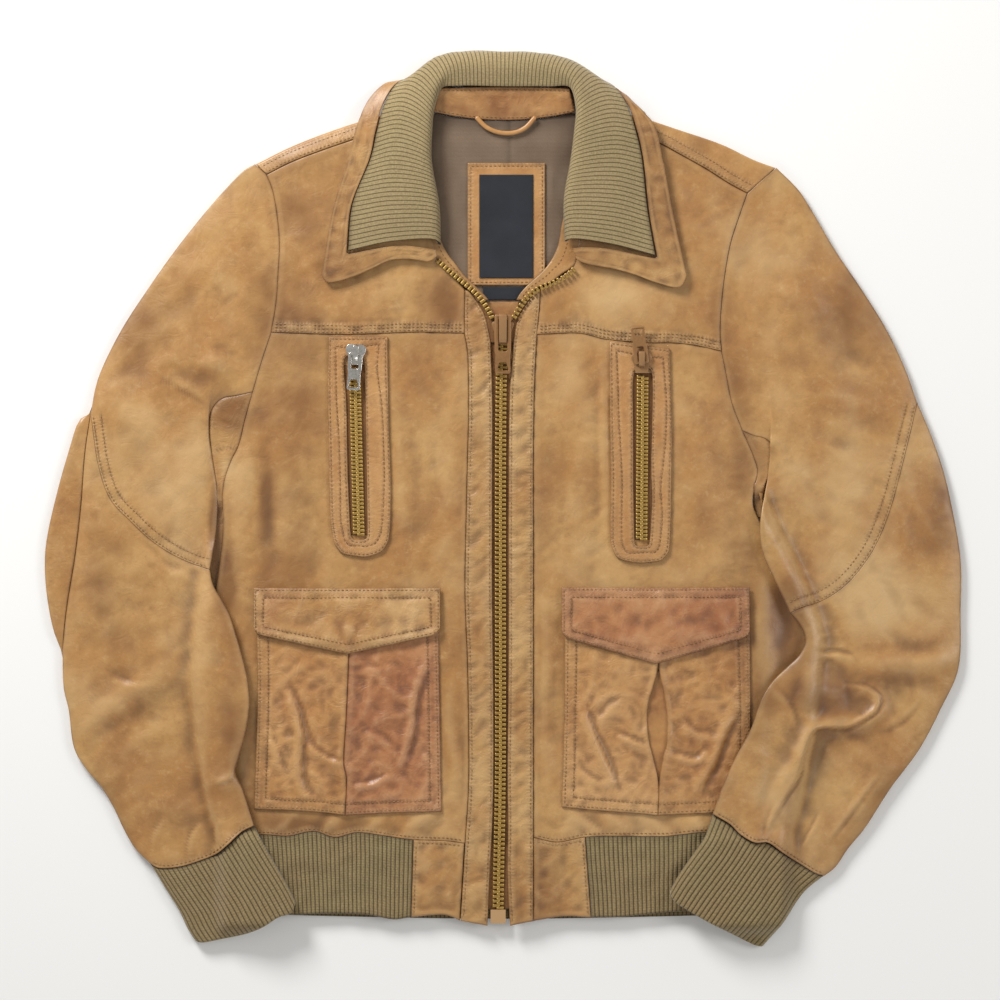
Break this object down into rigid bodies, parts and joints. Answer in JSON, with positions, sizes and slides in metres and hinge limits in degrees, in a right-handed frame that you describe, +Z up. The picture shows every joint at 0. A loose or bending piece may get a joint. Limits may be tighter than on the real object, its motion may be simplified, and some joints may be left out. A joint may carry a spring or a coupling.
{
  "type": "leather jacket",
  "caption": "Worn leather blouson laid flat: open collar with a knit inlay, zip front, zipped chest pockets, flapped hip pockets, knit cuffs and hem.",
  "frame": {"origin": "centre of the back panel's underside, on the surface the jacket lies on", "axes": "+Y toward the collar, +X toward the wearer's left sleeve as laid face up (right in the picture), +Z up out of the surface"},
  "size_m": [0.7812, 0.7598, 0.026],
  "materials": {
    "tan": "waxed, worn, mottled",
    "brown": "waxed, worn, redder panels",
    "knit": "rib knit wool blend",
    "lining_cloth": "plain twill lining",
    "label_weave": "dark woven cloth",
    "zip_tape": "woven tape",
    "brass_teeth": "dull gold zip teeth",
    "painted_zinc": "brown enamel",
    "nickel_zinc": "plated"
  },
  "bodies": {
    "jacket": {"back_panel": "tan", "shoulder_left": "tan", "shoulder_right": "tan", "front_lower_left": "tan", "front_lower_right": "tan", "front_yoke_left": "tan", "front_yoke_right": "tan", "pocket_left_outer": "tan", "pocket_right_inner": "tan", "pocket_right_outer": "tan", "chest_welt_left": "tan", "chest_welt_right": "tan", "sleeve_upper_left": "tan", "sleeve_lower_left": "tan", "sleeve_under_left": "tan", "sleeve_upper_right": "tan", "sleeve_lower_right": "tan", "sleeve_under_right": "tan", "collar_border": "tan", "facing_left": "tan", "facing_right": "tan", "label_patch": "tan", "placket_left": "brown", "placket_right": "brown", "hem_block_left": "brown", "hem_block_right": "brown", "pocket_left_inner": "brown", "pocket_flap_left": "brown", "pocket_flap_right": "brown", "gusset_left": "brown", "gusset_right": "brown", "neck_band": "brown", "hanger_loop": "brown", "hem_rib_left": "knit", "hem_rib_right": "knit", "back_hem_rib": "knit", "cuff_left": "knit", "cuff_right": "knit", "collar_rib": "knit", "lining": "lining_cloth", "label_cloth": "label_weave", "size_tab": "label_weave", "zip_tape_left": "zip_tape", "zip_tape_right": "zip_tape", "zip_chain": "brass_teeth", "zip_teeth_left": "brass_teeth", "zip_teeth_right": "brass_teeth", "chest_zip_left": "brass_teeth", "chest_zip_right": "brass_teeth", "main_slider": "painted_zinc", "zip_box": "painted_zinc", "chest_slider_right": "painted_zinc", "chest_slider_left": "nickel_zinc"},
    "main_pull": {"main_pull": "painted_zinc"},
    "chest_pull_left": {"chest_pull_left": "nickel_zinc"},
    "chest_pull_right": {"chest_pull_right": "painted_zinc"}
  },
  "joints": [
    {"name": "main_pull_hinge", "type": "hinge", "parent": "jacket", "child": "main_pull", "pos_m": [-0.001, 0.1555, 0.01295], "axis": [-1, 0, 0], "range_deg": [0, 160]},
    {"name": "chest_pull_left_hinge", "type": "hinge", "parent": "jacket", "child": "chest_pull_left", "pos_m": [-0.126, 0.123, 0.01526], "axis": [-1, 0, 0], "range_deg": [0, 150]},
    {"name": "chest_pull_right_hinge", "type": "hinge", "parent": "jacket", "child": "chest_pull_right", "pos_m": [0.117, 0.116, 0.01523], "axis": [1, 0, 0], "range_deg": [0, 150]}
  ]
}
